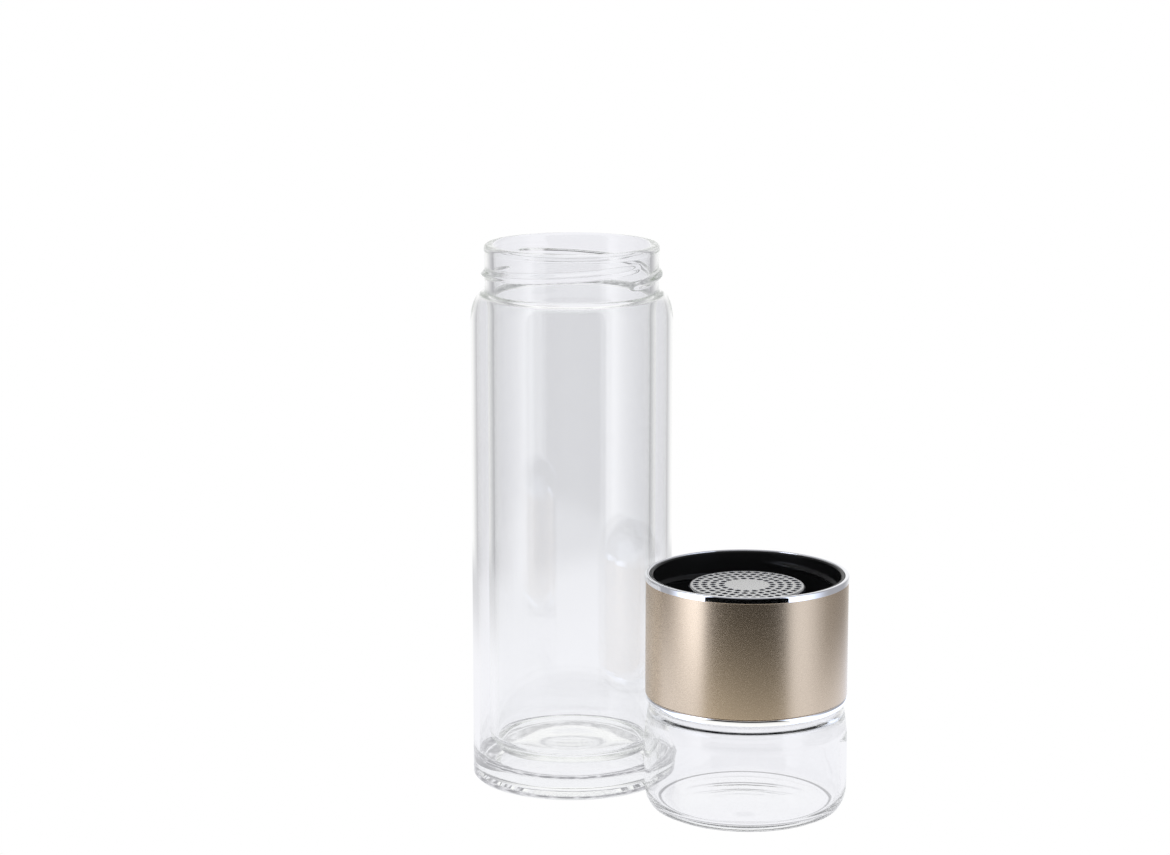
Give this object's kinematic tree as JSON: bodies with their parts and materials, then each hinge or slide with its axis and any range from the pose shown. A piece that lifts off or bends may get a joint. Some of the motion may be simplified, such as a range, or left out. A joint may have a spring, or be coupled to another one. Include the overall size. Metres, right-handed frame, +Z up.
{
  "type": "tea flask",
  "caption": "Double-walled glass tea flask, open, with its infuser beside it: a metal-clad threaded collar with a steel strainer on a small glass tea cup.",
  "frame": {"origin": "on the table plane, at the middle of the rectangle that the bottle and the infuser cover together", "axes": "+Z up along the bottle's and the infuser's axes, +X towards the infuser's side, -Y towards the viewer, with the infuser in front and to the right"},
  "size_m": [0.1218, 0.101, 0.1785],
  "materials": {
    "clear_glass": "clear polished borosilicate glass",
    "champagne_metal": "champagne gold, finely brushed, satin",
    "bright_chrome": "bright plated",
    "black_plastic": "satin moulded black",
    "strainer_steel": "satin stainless steel",
    "silicone": "translucent white silicone"
  },
  "bodies": {
    "bottle": {"bottle_liner": "clear_glass", "bottle_jacket": "clear_glass", "bottle_base": "clear_glass"},
    "tea_cup": {"tea_cup": "clear_glass"},
    "cup_seal": {"cup_seal": "silicone"},
    "collar": {"collar_core": "black_plastic", "collar_sleeve": "champagne_metal", "collar_top_ring": "bright_chrome", "collar_bottom_ring": "bright_chrome", "bottle_seal": "silicone"},
    "strainer": {"strainer": "strainer_steel", "strainer_gasket": "silicone"}
  },
  "joints": [
    {"name": "infuser_lift", "type": "slide", "parent": "bottle", "child": "tea_cup", "axis": [0, 0, 1], "range_m": [0, 0.18]},
    {"name": "collar_rise", "type": "slide", "parent": "tea_cup", "child": "cup_seal", "axis": [0, 0, 1], "range_m": [0, 0.022]},
    {"name": "collar_unscrew", "type": "hinge", "parent": "cup_seal", "child": "collar", "pos_m": [0.02823, -0.01777, 0.0352], "axis": [0, 0, 1], "range_deg": [0, 720]},
    {"name": "strainer_lift", "type": "slide", "parent": "collar", "child": "strainer", "axis": [0, 0, 1], "range_m": [0, 0.024]}
  ],
  "couplings": [
    {"joint": "collar_rise", "follows": "collar_unscrew", "m_per_rad": 0.0017507}
  ]
}
